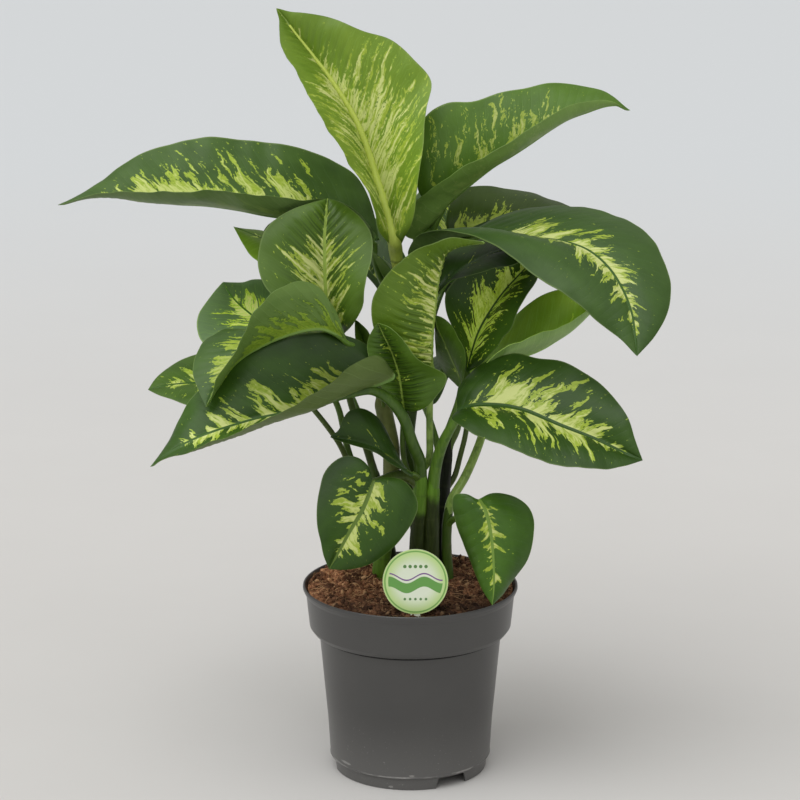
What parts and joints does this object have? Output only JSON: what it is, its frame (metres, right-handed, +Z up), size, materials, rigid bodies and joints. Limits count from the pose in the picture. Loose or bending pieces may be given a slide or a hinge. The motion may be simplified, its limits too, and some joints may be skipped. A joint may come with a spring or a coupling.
{
  "type": "potted dieffenbachia",
  "caption": "Free-standing leafy house plant with variegated arching leaves, several canes, soil, a round plant label and a grey nursery pot",
  "frame": {"origin": "centre of the flat round pad under the pot, on the surface the pot stands on", "axes": "+Z up along the pot's axis; +Y away from the side that the picture shows; +X to the right in the picture"},
  "size_m": [0.5636, 0.4035, 0.7392],
  "materials": {
    "leaf_green": "dark green blade with cream and yellow-green variegation along the midrib, satin gloss, paler grey-green underside",
    "leaf_young": "lighter yellow-green blade of the younger leaves with cream streaks, satin gloss",
    "cane_green": "smooth green cane, darker and browner towards the soil",
    "pot_grey": "grey moulded plastic, slightly satin, faint scuffs",
    "soil_brown": "brown coco peat with fibres and crumbs, dry and rough",
    "label_card": null
  },
  "bodies": {
    "root": {"cane_front_left": "cane_green", "cane_front_right": "cane_green", "cane_main": "cane_green", "cane_back_right": "cane_green", "cane_right": "cane_green", "cane_left": "cane_green", "cane_left_back": "cane_green", "leaf_top": "leaf_young", "leaf_left_upper": "leaf_green", "leaf_centre_left": "leaf_young", "leaf_left_arching": "leaf_young", "leaf_left_front": "leaf_green", "leaf_left_mid": "leaf_green", "leaf_left_low_back": "leaf_green", "leaf_left_back_tip": "leaf_green", "leaf_centre_front": "leaf_young", "leaf_centre_low": "leaf_green", "leaf_right_drooping": "leaf_green", "leaf_right_upper": "leaf_green", "leaf_right_mid_back": "leaf_green", "leaf_right_inner": "leaf_green", "leaf_right_upright": "leaf_green", "leaf_right_low_back": "leaf_green", "leaf_small_folded": "leaf_green", "leaf_right_front": "leaf_green", "leaf_heart_left": "leaf_green", "leaf_heart_right": "leaf_green", "leaf_small_dark": "leaf_green", "leaf_small_behind_top": "leaf_green", "leaf_small_pointed": "leaf_green", "leaf_back_left": "leaf_green", "leaf_back_centre": "leaf_green", "leaf_back_right": "leaf_green", "leaf_back_right_low": "leaf_green", "leaf_back_left_low": "leaf_green", "leaf_back_centre_low": "leaf_green", "pot": "pot_grey", "soil": "soil_brown", "plant_label": "label_card"}
  },
  "joints": []
}
